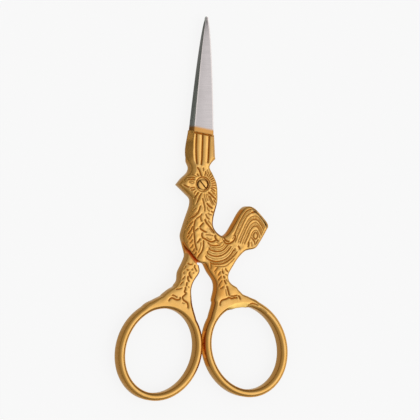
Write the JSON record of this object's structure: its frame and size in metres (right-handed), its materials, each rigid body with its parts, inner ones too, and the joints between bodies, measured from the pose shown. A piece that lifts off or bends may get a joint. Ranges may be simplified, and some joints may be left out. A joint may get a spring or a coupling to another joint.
{
  "type": "embroidery scissors",
  "caption": "Small embroidery scissors with fine pointed blades, a cast rooster body whose legs stand on finger rings, and a slotted pivot screw as the eye.",
  "frame": {"origin": "on the pivot axis, in the plane of the back faces that the closed scissors lie on", "axes": "+Z out of the decorated front, +Y towards the blade tips, +X towards the rooster's tail"},
  "size_m": [0.0537, 0.1145, 0.0044],
  "materials": {
    "gold_plated_steel": "polished",
    "gold_plated_screw": "polished",
    "blade_steel": "satin"
  },
  "bodies": {
    "back": {"back_half": "gold_plated_steel", "pivot_screw": "gold_plated_screw"},
    "front": {"front_half": "gold_plated_steel"}
  },
  "joints": [
    {"name": "pivot", "type": "hinge", "parent": "back", "child": "front", "pos_m": [0, 0, 0.0022], "axis": [0, 0, 1], "range_deg": [0, 60]}
  ]
}
